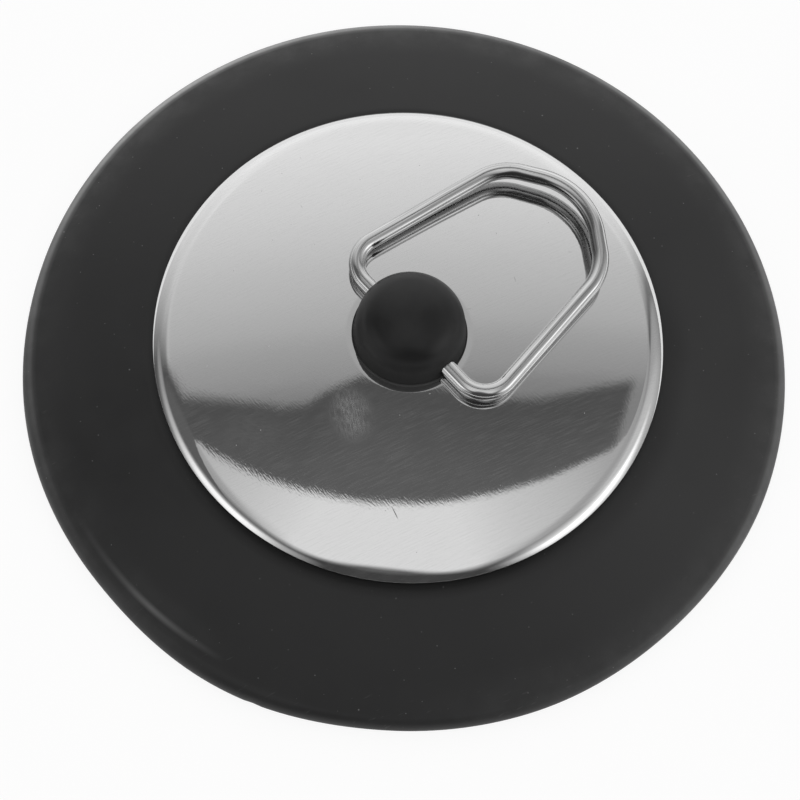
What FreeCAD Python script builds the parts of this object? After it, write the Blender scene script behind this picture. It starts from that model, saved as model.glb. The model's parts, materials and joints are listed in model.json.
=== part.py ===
"""Drain stopper: a rubber skirt under a domed steel cap, with a rubber knob and a folding wire bail.

Millimetres. Z points up, the floor under the rim is z = 0, and the origin is on the stopper's axis.
The bail turns about X and lies towards +Y at rest.
"""
import FreeCAD, Part
import math
import os

from FreeCAD import Vector

# Rubber skirt
disc_diameter = 115.0
rim_height = 1.9
rim_rounding = 0.9
foot_rounding = 0.4
foot_width = 2.4
foot_depth = 0.5
skirt_rise = 7.1
skirt_bulge = 0.45
skirt_thickness = 2.2
seat_thickness = 3.0
hub_diameter = 19.0
hub_length = 8.4
hub_fillet = 1.5
pad_diameter = 15.0
rib_width = 1.2
rib_depth = 1.2
rib_place_shares = (0.3, 0.62)

# Steel cap
cap_diameter = 76.0
cap_sheet = 0.5
dome_radius = 300.0
cap_rim_radius = 4.0
cap_rim_turn = 50.0
cap_flat_diameter = 20.2
cap_edge_gap = 0.3
cap_seat_gap = 0.3
cap_hole_gap = 0.3

# Rubber knob
knob_foot_diameter = 17.2
knob_foot_height = 0.6
knob_foot_rounding = 0.25
knob_base_diameter = 16.4
knob_top_diameter = 16.2
knob_wall_height = 4.3
knob_height = 8.7
knob_shoulder_radius = 4.2
stem_diameter = 7.2
stem_clearance = 0.05
head_diameter = 12.0
head_height = 2.4
head_land = 0.9
head_nose_diameter = 7.0

# Wire bail
wire_diameter = 2.5
wire_clearance = 0.05
pivot_height = 1.7
bail_width = 31.8
bail_shoulder_width = 23.0
bail_shoulder_reach = 27.9
bail_reach = 35.7
bail_heel_radius = 4.4
bail_shoulder_radius = 8.0
bail_crest_radius = 11.0
stub_end_gap = 4.0
stub_chamfer = 0.3
bail_side_slip = 0.7
bail_droop = 0.3

cut_overrun = 1.0
same_place = 1e-4

# Radii
disc_radius = disc_diameter / 2
cap_radius = cap_diameter / 2
cap_flat_radius = cap_flat_diameter / 2
hub_radius = hub_diameter / 2
pad_radius = pad_diameter / 2
stem_radius = stem_diameter / 2
stem_hole_radius = stem_radius + stem_clearance
cap_hole_radius = stem_radius + cap_hole_gap
wire_radius = wire_diameter / 2

# Cap section: a shallow dome whose rim turns down on a small arc
rim_turn = math.radians(cap_rim_turn)
rim_inner_radius = cap_rim_radius - cap_sheet
rim_centre_r = cap_radius - cap_rim_radius * math.sin(rim_turn)
cap_edge_r = rim_centre_r + rim_inner_radius * math.sin(rim_turn)
cap_edge_z = rim_height + skirt_rise + cap_edge_gap
rim_centre_z = cap_edge_z - rim_inner_radius * math.cos(rim_turn)
rim_centre_drop = math.sqrt((dome_radius - cap_rim_radius) ** 2 - rim_centre_r ** 2)
dome_centre_z = rim_centre_z - rim_centre_drop
rim_start_angle = math.asin(rim_centre_r / (dome_radius - cap_rim_radius))

# Levels at the middle, from the cap's flat seat
cap_flat_z = dome_centre_z + math.sqrt(dome_radius ** 2 - cap_flat_radius ** 2)
pad_z = cap_flat_z - cap_sheet
hub_bottom_z = pad_z - hub_length
pivot_z = cap_flat_z + pivot_height


def on_axis_plane(r, z):
    """Point of a turned section, at a radius and a height."""
    return Vector(r, 0, z)


def polar(centre_r, centre_z, radius, angle):
    """Point of a section's arc, with the angle taken from straight up towards the outside."""
    return on_axis_plane(centre_r + radius * math.sin(angle), centre_z + radius * math.cos(angle))


def line(start, end):
    """Straight edge."""
    return Part.makeLine(start, end)


def arc(centre_r, centre_z, radius, start_angle, end_angle):
    """Arc of a section between two angles."""
    middle_angle = (start_angle + end_angle) / 2
    angles = (start_angle, middle_angle, end_angle)
    return Part.Arc(*(polar(centre_r, centre_z, radius, angle) for angle in angles)).toShape()


def bulged(start, end, bulge):
    """Arc between two points of a section that stands off its chord by the bulge, upwards."""
    chord = end - start
    upright = Vector(-chord.z, 0, chord.x).normalize()
    if upright.z < 0:
        upright = upright.negative()
    middle = start + chord * 0.5 + upright * bulge
    return Part.Arc(start, middle, end).toShape()


def chain(*points):
    """Straight edges through the points in turn."""
    return [line(start, end) for start, end in zip(points, points[1:])]


def turned(edges):
    """Solid of revolution of a closed section about the stopper's axis."""
    section = Part.Face(Part.Wire(edges))
    return section.revolve(Vector(0, 0, 0), Vector(0, 0, 1), 360)


def rings_at(solid, r, z):
    """The solid's circular edges about the axis, at a radius and a height."""
    found = []
    for edge in solid.Edges:
        box = edge.BoundBox
        offsets = (box.ZMin - z, box.ZMax - z, box.XMax - r)
        if all(abs(offset) < same_place for offset in offsets):
            found.append(edge)
    return found


def dome_angle(radius, r):
    """Angle, from straight up, at which a dome about the cap's centre reaches a radius from the axis."""
    return math.asin(r / radius)


def build_steel_cap():
    """Pressed sheet: a flat pierced seat, a shallow dome and a rim turned down over the rubber."""
    inner_dome = dome_radius - cap_sheet
    flat_angle = dome_angle(dome_radius, cap_flat_radius)
    inner_flat_r = math.sqrt(inner_dome ** 2 - (pad_z - dome_centre_z) ** 2)
    inner_flat_angle = dome_angle(inner_dome, inner_flat_r)
    outer_edge = polar(rim_centre_r, rim_centre_z, cap_rim_radius, rim_turn)
    inner_edge = polar(rim_centre_r, rim_centre_z, rim_inner_radius, rim_turn)
    edges = [
        line(on_axis_plane(cap_hole_radius, cap_flat_z), on_axis_plane(cap_flat_radius, cap_flat_z)),
        arc(0, dome_centre_z, dome_radius, flat_angle, rim_start_angle),
        arc(rim_centre_r, rim_centre_z, cap_rim_radius, rim_start_angle, rim_turn),
        line(outer_edge, inner_edge),
        arc(rim_centre_r, rim_centre_z, rim_inner_radius, rim_turn, rim_start_angle),
        arc(0, dome_centre_z, inner_dome, rim_start_angle, inner_flat_angle),
    ]
    edges += chain(
        on_axis_plane(inner_flat_r, pad_z),
        on_axis_plane(cap_hole_radius, pad_z),
        on_axis_plane(cap_hole_radius, cap_flat_z),
    )
    return turned(edges)


def build_sealing_disc():
    """Moulded skirt, hollow below, with a pad under the cap, a hub, a flat foot and sealing ribs."""
    seat_dome = dome_radius - cap_sheet - cap_seat_gap
    under_dome = seat_dome - seat_thickness
    seat_angle = rim_start_angle
    pad_angle = dome_angle(seat_dome, pad_radius)
    hub_angle = dome_angle(under_dome, hub_radius)
    under_angle = dome_angle(under_dome, rim_centre_r - seat_thickness)

    skirt_start = on_axis_plane(cap_edge_r, rim_height + skirt_rise)
    skirt_end = on_axis_plane(disc_radius, rim_height)
    chord = skirt_end - skirt_start
    slope = math.atan2(-chord.z, chord.x)
    wall = skirt_thickness / math.cos(slope)
    foot_r = disc_radius - foot_width
    under_start = skirt_start - Vector(0, 0, wall)
    under_end = on_axis_plane(foot_r, foot_depth)

    edges = chain(
        on_axis_plane(stem_hole_radius, pad_z),
        on_axis_plane(pad_radius, pad_z),
        polar(0, dome_centre_z, seat_dome, pad_angle),
    )
    edges.append(arc(0, dome_centre_z, seat_dome, pad_angle, seat_angle))
    edges.append(line(polar(0, dome_centre_z, seat_dome, seat_angle), skirt_start))
    edges.append(bulged(skirt_start, skirt_end, skirt_bulge))
    edges += chain(skirt_end, on_axis_plane(disc_radius, 0), on_axis_plane(foot_r, 0), under_end)
    edges.append(bulged(under_end, under_start, skirt_bulge))
    edges.append(line(under_start, polar(0, dome_centre_z, under_dome, under_angle)))
    edges.append(arc(0, dome_centre_z, under_dome, under_angle, hub_angle))
    edges += chain(
        polar(0, dome_centre_z, under_dome, hub_angle),
        on_axis_plane(hub_radius, hub_bottom_z),
        on_axis_plane(stem_hole_radius, hub_bottom_z),
        on_axis_plane(stem_hole_radius, pad_z),
    )
    disc = turned(edges)
    hub_root = polar(0, dome_centre_z, under_dome, hub_angle)
    disc = disc.makeFillet(rim_rounding, rings_at(disc, disc_radius, rim_height))
    disc = disc.makeFillet(foot_rounding, rings_at(disc, disc_radius, 0))
    disc = disc.makeFillet(hub_fillet, rings_at(disc, hub_root.x, hub_root.z))

    for share in rib_place_shares:
        rib_r = cap_edge_r + (foot_r - cap_edge_r) * share
        root_z = skirt_start.z + chord.z * (rib_r - cap_edge_r) / chord.x
        sag = skirt_bulge * 4 * share * (1 - share)
        under_z = under_start.z + (under_end.z - under_start.z) * share + sag
        disc = disc.fuse(sealing_rib(rib_r, under_z - rib_depth, root_z - wall / 2))
    return disc.removeSplitter()


def sealing_rib(rib_r, tip_z, root_z):
    """One round-nosed ring under the skirt."""
    nose = rib_width / 2
    inner_r = rib_r - nose
    outer_r = rib_r + nose
    edges = chain(
        on_axis_plane(inner_r, tip_z + nose),
        on_axis_plane(inner_r, root_z),
        on_axis_plane(outer_r, root_z),
        on_axis_plane(outer_r, tip_z + nose),
    )
    tip = on_axis_plane(rib_r, tip_z)
    edges.append(Part.Arc(edges[-1].Vertexes[-1].Point, tip, edges[0].Vertexes[0].Point).toShape())
    return turned(edges)


def build_grip_knob():
    """Domed knob on a wider foot, bored for the wire, and a stem whose head holds the pieces together."""
    foot_radius = knob_foot_diameter / 2
    base_radius = knob_base_diameter / 2
    top_radius = knob_top_diameter / 2
    head_radius = head_diameter / 2
    nose_radius = head_nose_diameter / 2
    foot_top_z = cap_flat_z + knob_foot_height
    wall_top_z = cap_flat_z + knob_wall_height
    apex_z = cap_flat_z + knob_height
    taper = math.atan2(base_radius - top_radius, wall_top_z - foot_top_z)

    shoulder_r = top_radius - knob_shoulder_radius * math.cos(taper)
    shoulder_z = wall_top_z - knob_shoulder_radius * math.sin(taper)
    crest_z = apex_z - knob_shoulder_radius
    centre_z = (crest_z ** 2 - shoulder_r ** 2 - shoulder_z ** 2) / (2 * (crest_z - shoulder_z))
    crown_radius = apex_z - centre_z
    meet_angle = math.atan2(shoulder_r, shoulder_z - centre_z)

    edges = chain(
        on_axis_plane(0, apex_z),
        on_axis_plane(0, hub_bottom_z - head_height),
        on_axis_plane(nose_radius, hub_bottom_z - head_height),
        on_axis_plane(head_radius, hub_bottom_z - head_land),
        on_axis_plane(head_radius, hub_bottom_z),
        on_axis_plane(stem_radius, hub_bottom_z),
        on_axis_plane(stem_radius, cap_flat_z),
        on_axis_plane(foot_radius, cap_flat_z),
        on_axis_plane(foot_radius, foot_top_z),
        on_axis_plane(base_radius, foot_top_z),
        on_axis_plane(top_radius, wall_top_z),
    )
    edges.append(arc(shoulder_r, shoulder_z, knob_shoulder_radius, math.pi / 2 - taper, meet_angle))
    edges.append(arc(0, centre_z, crown_radius, meet_angle, 0))
    knob = turned(edges)
    knob = knob.makeFillet(knob_foot_rounding, rings_at(knob, foot_radius, foot_top_z))

    hole_length = knob_foot_diameter + 2 * cut_overrun
    hole_start = Vector(-hole_length / 2, 0, pivot_z)
    hole = Part.makeCylinder(wire_radius + wire_clearance, hole_length, hole_start, Vector(1, 0, 0))
    return knob.cut(hole)


def rounded_path(points, radii):
    """Straight runs through the points, with each inner corner rounded to its radius."""
    edges = []
    start = points[0]
    for before, corner, after, radius in zip(points, points[1:], points[2:], radii):
        back = (before - corner).normalize()
        ahead = (after - corner).normalize()
        half_angle = back.getAngle(ahead) / 2
        trim = radius / math.tan(half_angle)
        inward = (back + ahead).normalize()
        middle = corner + inward * (radius / math.sin(half_angle) - radius)
        bend_start = corner + back * trim
        bend_end = corner + ahead * trim
        edges.append(line(start, bend_start))
        edges.append(Part.Arc(bend_start, middle, bend_end).toShape())
        start = bend_end
    edges.append(line(start, points[-1]))
    return Part.Wire(edges)


def stub_rims(bail, end_x):
    """The round edges of the wire's two ends."""
    found = []
    for edge in bail.Edges:
        box = edge.BoundBox
        if box.XLength < same_place and abs(abs(box.XMax) - end_x) < same_place:
            found.append(edge)
    return found


def build_pull_bail():
    """Bent wire: two stubs that turn in the knob, heels, legs that draw in, and a rounded crest."""
    half_gap = stub_end_gap / 2
    half_width = bail_width / 2
    half_shoulder = bail_shoulder_width / 2
    right_side = [
        Vector(half_gap, 0, 0),
        Vector(half_width, 0, 0),
        Vector(half_shoulder, bail_shoulder_reach, 0),
    ]
    left_side = [Vector(-point.x, point.y, 0) for point in reversed(right_side)]
    points = right_side + [Vector(0, bail_reach, 0)] + left_side
    radii = [bail_heel_radius, bail_shoulder_radius, bail_crest_radius]
    path = rounded_path(points, radii + radii[-2::-1])

    section = Part.Wire(Part.makeCircle(wire_radius, points[0], Vector(1, 0, 0)))
    bail = path.makePipeShell([section], True, False)
    bail = bail.makeChamfer(stub_chamfer, stub_rims(bail, half_gap))
    bail.rotate(Vector(0, 0, 0), Vector(1, 0, 0), -bail_droop)
    bail.translate(Vector(bail_side_slip, 0, pivot_z))
    return bail


def main():
    """Builds every piece and writes it under its node's name."""
    os.makedirs("parts", exist_ok=True)
    pieces = {
        "sealing_disc": build_sealing_disc(),
        "steel_cap": build_steel_cap(),
        "grip_knob": build_grip_knob(),
        "pull_bail": build_pull_bail(),
    }
    for name, shape in pieces.items():
        print(name, "valid", shape.isValid(), "solids", len(shape.Solids), "volume", round(shape.Volume, 1))
        shape.exportStep(f"parts/{name}.step")
    print("pivot height", round(pivot_z, 3))


main()
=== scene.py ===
"""Looks of the drain stopper: a rubber skirt, a domed steel cap, a rubber knob and a folding wire bail.

Lengths in the sub-assemblies are millimetres of the part's frame: Z up, the floor at z = 0, the origin on
the stopper's axis, and the bail's pivot along X with the bail towards +Y.
"""
import json
import logging
import math
from dataclasses import dataclass
from enum import Enum
from functools import partial, reduce
from typing import Optional, Sequence, Union

import bpy
import numpy as np
from mathutils import Matrix, Vector


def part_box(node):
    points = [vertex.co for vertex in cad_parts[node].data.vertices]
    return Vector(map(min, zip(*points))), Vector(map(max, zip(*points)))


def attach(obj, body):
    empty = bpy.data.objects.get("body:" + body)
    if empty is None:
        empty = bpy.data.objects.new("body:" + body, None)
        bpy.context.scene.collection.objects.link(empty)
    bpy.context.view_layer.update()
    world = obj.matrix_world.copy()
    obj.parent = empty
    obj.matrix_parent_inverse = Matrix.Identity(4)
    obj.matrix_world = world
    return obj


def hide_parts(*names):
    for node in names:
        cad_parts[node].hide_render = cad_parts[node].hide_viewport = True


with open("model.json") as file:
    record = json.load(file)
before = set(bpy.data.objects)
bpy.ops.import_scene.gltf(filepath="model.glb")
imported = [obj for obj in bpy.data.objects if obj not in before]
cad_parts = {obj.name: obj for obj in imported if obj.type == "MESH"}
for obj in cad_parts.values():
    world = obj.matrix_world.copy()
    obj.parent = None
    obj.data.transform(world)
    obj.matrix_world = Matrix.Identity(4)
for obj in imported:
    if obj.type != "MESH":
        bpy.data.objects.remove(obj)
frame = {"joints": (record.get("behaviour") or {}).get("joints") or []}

LOG = logging.getLogger("drain_stopper")
MM = 0.001
WELD = 0.002

Point = tuple[float, float]
Stops = tuple[Point, ...]
Colour = tuple[float, float, float]
Direction = tuple[float, float, float]
Piece = bpy.types.Object
Material = bpy.types.Material
Socket = bpy.types.NodeSocket
Value = Union[float, Socket]

CLOUD_EDGES: Point = (0.3, 0.7)
SHEEN_EDGES: Point = (0.25, 0.75)
SPECK_EDGE = 0.5


class Body(Enum):
    """Bodies of the frame that pieces ride on."""

    STOPPER = "stopper"
    BAIL = "bail"


class Slot(Enum):
    """Material slots of the record."""

    SKIRT_RUBBER = "black_rubber"
    CAP_STEEL = "cap_steel"
    KNOB_RUBBER = "knob_rubber"
    WIRE_STEEL = "wire_steel"


class Side(Enum):
    """The two sides of a middle."""

    LEFT = -1
    RIGHT = 1


class Layers(Enum):
    """Detail and roughness of a soft random pattern."""

    PLAIN = (1.0, 0.5)
    SOFT = (2.0, 0.5)
    SCUFFED = (2.0, 0.6)
    CLOUDY = (3.0, 0.55)
    FINE = (3.0, 0.6)
    PATCHY = (4.0, 0.6)


class NodeSheet:
    """Writes the nodes of one material or world."""

    def __init__(self, tree: bpy.types.NodeTree) -> None:
        """Starts on an emptied node tree."""
        self.tree = tree
        self.tree.nodes.clear()

    def node(self, kind: str, **settings: object) -> bpy.types.Node:
        """Adds a node.

        Args:
            kind: the node's type name without its ShaderNode prefix.
            settings: properties set on the node.

        Returns:
            The new node.
        """
        made = self.tree.nodes.new("ShaderNode" + kind)
        for name, value in settings.items():
            setattr(made, name, value)
        return made

    def feed(self, socket: Socket, value: object) -> None:
        """Links a socket, or sets a plain value."""
        if isinstance(value, Socket):
            self.tree.links.new(value, socket)
        else:
            socket.default_value = value

    def fill(self, made: bpy.types.Node, *values: object) -> Socket:
        """Feeds a node's sockets in turn.

        Args:
            made: the node.
            values: what its sockets get.

        Returns:
            The node's first output.
        """
        for socket, value in zip(made.inputs, values):
            self.feed(socket, value)
        return made.outputs[0]

    def math(self, operation: str, *values: Value, clamp: bool = False) -> Socket:
        """Adds a Math node and returns its result, held between 0 and 1 where it is clamped."""
        return self.fill(self.node("Math", operation=operation, use_clamp=clamp), *values)

    def product(self, *values: Value) -> Socket:
        """Multiplies values with each other."""
        return reduce(partial(self.math, "MULTIPLY"), values)

    def highest(self, *values: Value) -> Socket:
        """Takes the highest of some values."""
        return reduce(partial(self.math, "MAXIMUM"), values)

    def vector(self, operation: str, *values: object) -> bpy.types.Node:
        """Adds a Vector Math node and returns it."""
        made = self.node("VectorMath", operation=operation)
        self.fill(made, *values)
        return made

    def length(self, place: Socket) -> Socket:
        """Distance of coordinates from their origin."""
        return self.vector("LENGTH", place).outputs["Value"]

    def reach(self, place: Socket, direction: Direction) -> Socket:
        """How far coordinates lie along a direction."""
        return self.vector("DOT_PRODUCT", place, direction).outputs["Value"]

    def split(self, place: Socket) -> Sequence[Socket]:
        """Splits coordinates.

        Args:
            place: the coordinates.

        Returns:
            Their X, Y and Z.
        """
        made = self.node("SeparateXYZ")
        self.fill(made, place)
        return made.outputs

    def step(self, value: Value, low: float, high: float, start: Value = 0.0, end: Value = 1.0) -> Socket:
        """Eases from one level to another.

        Args:
            value: what is read.
            low: where the change starts.
            high: where the change ends.
            start: the level up to low.
            end: the level from high on.

        Returns:
            The eased level.
        """
        return self.fill(self.node("MapRange", interpolation_type="SMOOTHSTEP"), value, low, high, start, end)

    def levels(self, value: Value, stops: Sequence[Point]) -> Socket:
        """Reads a grey ramp.

        Args:
            value: what is read.
            stops: values in rising order with the level at each.

        Returns:
            The ramp's level, held beyond its ends.
        """
        first, last = stops[0][0], stops[-1][0]
        share = self.fill(self.node("MapRange"), value, first, last)
        made = self.node("ValToRGB")
        ramp = made.color_ramp
        while len(ramp.elements) < len(stops):
            ramp.elements.new(1.0)
        for element, (place, level) in zip(ramp.elements, stops):
            element.position = (place - first) / (last - first)
            element.color = (level, level, level, 1.0)
        return self.fill(made, share)

    def turned(self, source: Socket, angle: float) -> Socket:
        """Reads coordinates on axes that are turned about Z.

        Args:
            source: the coordinates.
            angle: degrees that the axes are turned.

        Returns:
            The coordinates on those axes.
        """
        made = self.node("VectorRotate", rotation_type="Z_AXIS")
        self.feed(made.inputs["Vector"], source)
        made.inputs["Angle"].default_value = -math.radians(angle)
        return made.outputs[0]

    def place(self, turn: float = 0.0, sizes: Sequence[float] = (1.0, 1.0, 1.0),
              centre: Sequence[float] = (0.0, 0.0, 0.0), source: Optional[Socket] = None) -> Socket:
        """Gives a piece's own coordinates, counted in grain sizes.

        Args:
            turn: degrees that the pattern is turned about Z.
            sizes: millimetres that count as one along each axis; 0 flattens that axis.
            centre: millimetres of the pattern's middle.
            source: coordinates to use in place of the object's own.

        Returns:
            The coordinates.
        """
        if source is None:
            source = self.node("TexCoord").outputs["Object"]
        moved = self.vector("SUBTRACT", source, [c * MM for c in centre]).outputs[0]
        scale = [1 / (size * MM) if size else 0.0 for size in sizes]
        return self.vector("MULTIPLY", self.turned(moved, turn), scale).outputs[0]

    def cells(self, size: float, source: Optional[Socket] = None) -> Socket:
        """Gives a piece's own or other coordinates, counted in even cells of that many millimetres."""
        return self.place(sizes=[size] * 3, source=source)

    def noise(self, place: Socket, layers: Layers) -> Socket:
        """Soft random pattern of about one unit.

        Args:
            place: coordinates.
            layers: how fine it is.

        Returns:
            The pattern, about 0 to 1.
        """
        made = self.node("TexNoise")
        self.feed(made.inputs["Vector"], place)
        made.inputs["Scale"].default_value = 1.0
        made.inputs["Detail"].default_value, made.inputs["Roughness"].default_value = layers.value
        return made.outputs[0]

    def blob(self, place: Socket, soft: float) -> Socket:
        """Soft spot of unit radius about the coordinates' origin."""
        return self.step(self.length(place), 1.0 - soft, 1.0, 1.0, 0.0)

    def blend(self, share: Value, first: object, second: object) -> Socket:
        """Mixes two colours.

        Args:
            share: share of the second colour.
            first: colour at 0.
            second: colour at 1.

        Returns:
            The mixed colour.
        """
        made = self.node("Mix", data_type="RGBA")
        self.feed(made.inputs["Factor"], share)
        for socket, value in ((made.inputs[6], first), (made.inputs[7], second)):
            self.feed(socket, value if isinstance(value, Socket) else (*value, 1.0))
        return made.outputs[2]

    def blend_level(self, share: Value, first: Value, second: Value) -> Socket:
        """Mixes two levels.

        Args:
            share: share of the second level.
            first: level at 0.
            second: level at 1.

        Returns:
            The mixed level.
        """
        made = self.node("Mix", data_type="FLOAT")
        for socket, value in zip((made.inputs[0], made.inputs[2], made.inputs[3]), (share, first, second)):
            self.feed(socket, value)
        return made.outputs[0]

    def bump(self, height: Socket, depth: float, below: Optional[Socket] = None) -> Socket:
        """Raises a relief.

        Args:
            height: the relief, about 0 to 1.
            depth: its height in millimetres.
            below: normal of a coarser relief that it lies on.

        Returns:
            The bent normal.
        """
        made = self.node("Bump")
        made.inputs["Strength"].default_value = 1.0
        made.inputs["Distance"].default_value = depth * MM
        self.feed(made.inputs["Height"], height)
        if below is not None:
            self.feed(made.inputs["Normal"], below)
        return made.outputs[0]

    def shader(self, kind: str, **inputs: object) -> Socket:
        """Adds a shader.

        Args:
            kind: the shader's type name.
            inputs: what its sockets get, named with underscores.

        Returns:
            The shader.
        """
        made = self.node(kind)
        for name, value in inputs.items():
            self.feed(made.inputs[name.replace("_", " ")], value)
        return made.outputs[0]

    def end(self, kind: str, shader: Socket) -> None:
        """Ends a material or a world with a shader."""
        self.feed(self.node(kind).inputs["Surface"], shader)

    def surface(self, **inputs: object) -> None:
        """Ends a material with a Principled shader whose sockets are named with underscores."""
        self.end("OutputMaterial", self.shader("BsdfPrincipled", **inputs))


def new_material(name: str) -> tuple[Material, NodeSheet]:
    """Makes an empty node material.

    Args:
        name: the material's name.

    Returns:
        The material and the sheet to write its nodes on.
    """
    material = bpy.data.materials.new(name)
    material.use_nodes = True
    return material, NodeSheet(material.node_tree)


@dataclass(frozen=True)
class Specks:
    """Scattered small round marks: a cell in millimetres, the largest radius in cells, the share of cells."""

    cell: float
    size: float
    share: float
    flat: bool = True

    def mask(self, sheet: NodeSheet, source: Optional[Socket] = None) -> Socket:
        """Writes the marks.

        Args:
            sheet: the material's sheet.
            source: coordinates to use in place of the object's own.

        Returns:
            A mask of the marks.
        """
        cells = sheet.node("TexVoronoi", voronoi_dimensions="2D" if self.flat else "3D")
        sheet.feed(cells.inputs["Vector"], sheet.cells(self.cell, source))
        cells.inputs["Scale"].default_value = 1.0
        parts = sheet.node("SeparateColor")
        sheet.feed(parts.inputs[0], cells.outputs["Color"])
        radius = sheet.product(parts.outputs[1], self.size)
        inside = sheet.math("SUBTRACT", radius, cells.outputs["Distance"])
        kept = sheet.math("LESS_THAN", parts.outputs[0], self.share)
        return sheet.product(sheet.step(inside, 0.0, self.size * SPECK_EDGE), kept)


@dataclass(frozen=True)
class SkirtRubber:
    """Matte moulded rubber with dust, scuffs and pale rim wear, and painted light: sheen and highlights along
    its rim and crease, light beside the cap and shade under the cap's front edge.
    """

    deep: Colour = (0.0215, 0.0215, 0.0218)
    cloudy: Colour = (0.0280, 0.0280, 0.0283)
    cloud_size: float = 14.0
    cloud_patches: int = 3
    # Painted sheen: the rubber is coloured lighter and patchy towards its rim, by turn where the rim catches
    # the light.
    rim_sheen: Colour = (0.090, 0.090, 0.090)
    rim_sheen_ring: Point = (50.0, 57.5)
    rim_sheen_patch: Point = (0.3, 0.75)
    rim_sheen_least: float = 0.35
    rim_sheen_turns: Stops = (
        (-180, 1.0), (-168, 1.0), (-149, 0.45), (-131, 0.25), (-112, 0.4), (-90, 0.4), (-69, 0.0),
        (-47, 0.02), (-26, 0.3), (-6, 0.45), (36, 0.5), (55, 0.7), (73, 0.5), (93, 0.6), (113, 0.85),
        (153, 0.85), (180, 1.0),
    )
    # Painted light: a lighter ring beside the cap, by turn on the side where the light falls.
    side_light: Colour = (0.060, 0.060, 0.060)
    side_light_ring: Point = (39.0, 43.0)
    side_light_turns: Stops = ((-28, 0.0), (-8, 0.2), (15, 0.45), (36, 0.45), (55, 0.25), (75, 0.0))
    # Painted shade: a dark ring under the cap's front edge.
    cap_edge_shade: Colour = (0.006, 0.006, 0.006)
    cap_edge_shade_ring: Stops = ((37.0, 1.0), (38.5, 1.0), (40.2, 0.0))
    cap_edge_shade_turns: Stops = ((-128, 0.0), (-105, 0.4), (-70, 0.9), (-20, 0.9), (2, 0.0))
    # Pale rim wear with a painted highlight: set by turn to where the rim's rounding catches the light.
    wear_and_highlight: Colour = (0.57, 0.57, 0.57)
    wear_and_highlight_ring: Stops = ((55.6, 0.0), (56.1, 0.25), (56.5, 0.95), (56.8, 1.0), (57.2, 0.6), (57.5, 0.3))
    wear_patch: Point = (0.3, 0.65)
    wear_least: float = 0.8
    wear_and_highlight_turns: Stops = (
        (-180, 1.0), (-163, 0.68), (-147, 0.34), (-132, 0.20), (-112, 0.08), (-95, 0.02), (-25, 0.01),
        (-6, 0.05), (16, 0.16), (36, 0.18), (55, 0.22), (73, 0.36), (93, 0.42), (113, 0.33), (132, 0.40),
        (152, 0.76), (166, 1.0), (180, 1.0),
    )
    # Painted highlight along the rubber's crease.
    crease_radius: float = 54.9
    crease_width: float = 0.70
    crease_highlight_turns: Stops = ((-104, 0.0), (-96, 0.05), (-90, 0.12), (-85, 0.22), (-79, 0.11), (-71, 0.0))
    dust: Colour = (0.24, 0.24, 0.24)
    specks: tuple[Specks, ...] = (Specks(3.1, 0.030, 0.5), Specks(8.37, 0.016, 0.4))
    scuff_turn: float = -18.0
    scuff_size: tuple[float, float, float] = (0.5, 3.2, 3.2)
    scuff_edges: Point = (0.66, 0.76)
    scuff_strength: float = 0.28
    roughness: Point = (0.44, 0.58)
    mark_roughness: float = 0.2
    specular: float = 0.36
    grain_size: float = 0.28
    grain_depth: float = 0.006
    pore_size: float = 1.7
    pore_depth: float = 0.010

    def material(self) -> Material:
        """Writes the rubber's nodes and returns the material."""
        material, sheet = new_material("skirt_rubber")
        flat = sheet.place(sizes=(1.0, 1.0, 0.0))
        radius = sheet.length(flat)
        across, away, _ = sheet.split(flat)
        turn = sheet.math("DEGREES", sheet.math("ARCTAN2", away, across))
        cloud = sheet.noise(sheet.cells(self.cloud_size), Layers.CLOUDY)
        patch = sheet.noise(sheet.cells(self.cloud_size / self.cloud_patches), Layers.PATCHY)
        # Painted sheen along the rim; this band also places the scuffs.
        rim = sheet.step(radius, *self.rim_sheen_ring)
        rim = sheet.product(rim, sheet.step(patch, *self.rim_sheen_patch, self.rim_sheen_least, 1.0))
        # Painted light and shade on the rubber: light beside the cap, shade under the cap's front edge, sheen
        # along the rim.
        bands = (
            (sheet.step(radius, *self.side_light_ring), self.side_light_turns, self.side_light),
            (sheet.levels(radius, self.cap_edge_shade_ring), self.cap_edge_shade_turns, self.cap_edge_shade),
            (rim, self.rim_sheen_turns, self.rim_sheen),
        )
        colour = sheet.blend(sheet.step(cloud, *CLOUD_EDGES), self.deep, self.cloudy)
        for band, turns, shade in bands:
            colour = sheet.blend(sheet.product(band, sheet.levels(turn, turns)), colour, shade)
        # Pale rim wear with painted highlights on the rim and its crease.
        colour = sheet.blend(self.wear_and_highlight_mask(sheet, radius, turn, patch), colour, self.wear_and_highlight)

        scuffs = sheet.noise(sheet.place(self.scuff_turn, self.scuff_size), Layers.SCUFFED)
        scuffs = sheet.product(sheet.step(scuffs, *self.scuff_edges), rim, self.scuff_strength)
        marks = sheet.highest(*(kind.mask(sheet) for kind in self.specks), scuffs)
        colour = sheet.blend(marks, colour, self.dust)

        rough = sheet.step(cloud, *SHEEN_EDGES, *self.roughness)
        rough = sheet.math("ADD", rough, sheet.product(marks, self.mark_roughness), clamp=True)
        normal = sheet.bump(sheet.noise(sheet.cells(self.pore_size), Layers.SOFT), self.pore_depth)
        grain = sheet.noise(sheet.cells(self.grain_size), Layers.FINE)
        normal = sheet.bump(grain, self.grain_depth, normal)
        sheet.surface(Base_Color=colour, Roughness=rough, Specular_IOR_Level=self.specular, Normal=normal)
        return material

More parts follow.
